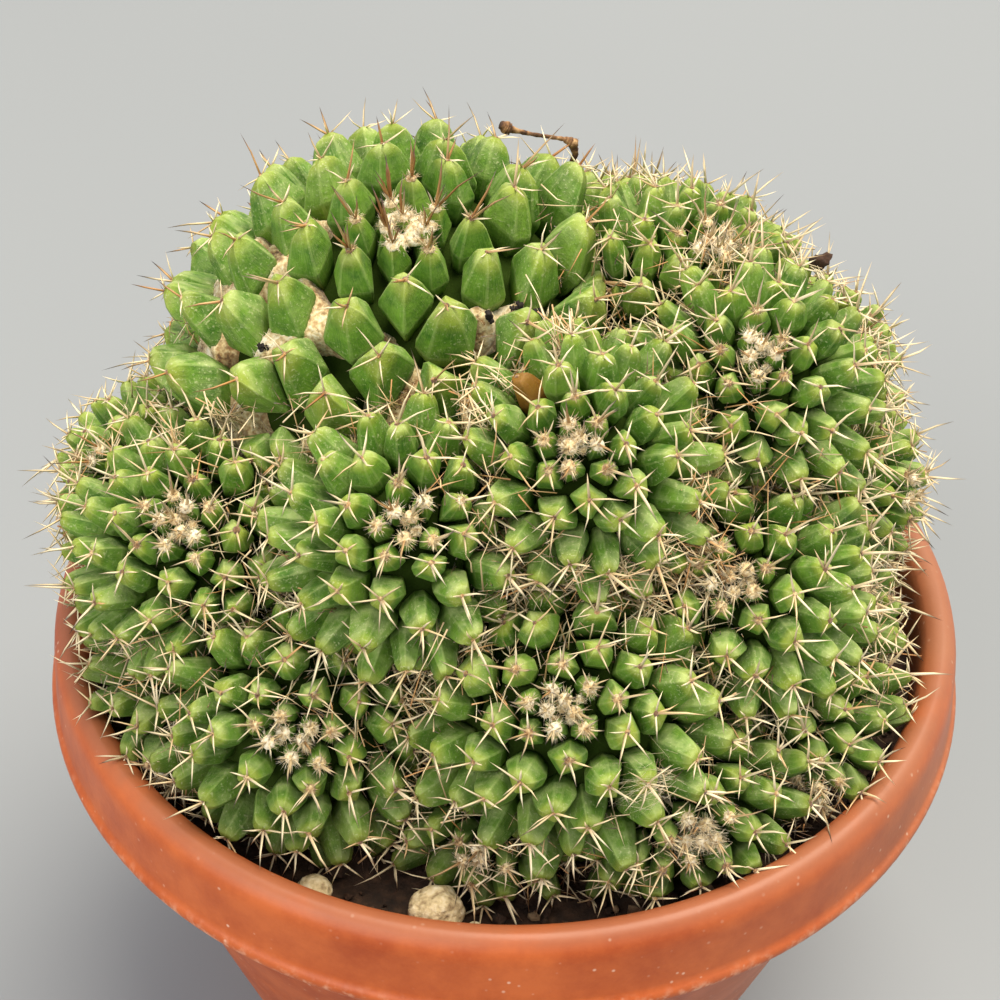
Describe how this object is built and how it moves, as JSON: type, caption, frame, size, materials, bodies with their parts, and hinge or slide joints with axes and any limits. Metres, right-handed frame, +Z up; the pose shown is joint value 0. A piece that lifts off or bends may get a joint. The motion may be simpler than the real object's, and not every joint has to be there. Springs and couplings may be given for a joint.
{
  "type": "potted cactus",
  "caption": "Clump-forming nipple cactus with spiny, keeled green tubercles and woolly crowns, grown over the brim of a round terracotta-coloured plastic pot.",
  "frame": {"origin": "middle of the pot's underside, in the plane it stands on", "axes": "+Z up, along the pot's axis; -Y towards the side that the picture shows; +X to the right as seen from there"},
  "size_m": [0.2, 0.2, 0.2335],
  "materials": {
    "pot_plastic": "satin",
    "soil": "matte",
    "pumice": "matte",
    "cactus_flesh": "satin",
    "dried_stalk": "matte",
    "spines": "satin",
    "wool": "matte",
    "dried_flowers": "matte"
  },
  "bodies": {
    "root": {"pot": "pot_plastic", "soil": "soil", "pumice_large": "pumice", "pumice_small": "pumice", "pumice_left": "pumice", "mother_head": "cactus_flesh", "offset_01": "cactus_flesh", "offset_02": "cactus_flesh", "offset_03": "cactus_flesh", "offset_04": "cactus_flesh", "offset_05": "cactus_flesh", "offset_06": "cactus_flesh", "offset_07": "cactus_flesh", "offset_08": "cactus_flesh", "offset_09": "cactus_flesh", "offset_10": "cactus_flesh", "offset_11": "cactus_flesh", "offset_12": "cactus_flesh", "offset_13": "cactus_flesh", "offset_14": "cactus_flesh", "offset_15": "cactus_flesh", "offset_16": "cactus_flesh", "offset_17": "cactus_flesh", "offset_18": "cactus_flesh", "offset_19": "cactus_flesh", "offset_20": "cactus_flesh", "offset_21": "cactus_flesh", "offset_22": "cactus_flesh", "offset_23": "cactus_flesh", "offset_24": "cactus_flesh", "offset_25": "cactus_flesh", "dried_stalk": "dried_stalk"}
  },
  "joints": []
}
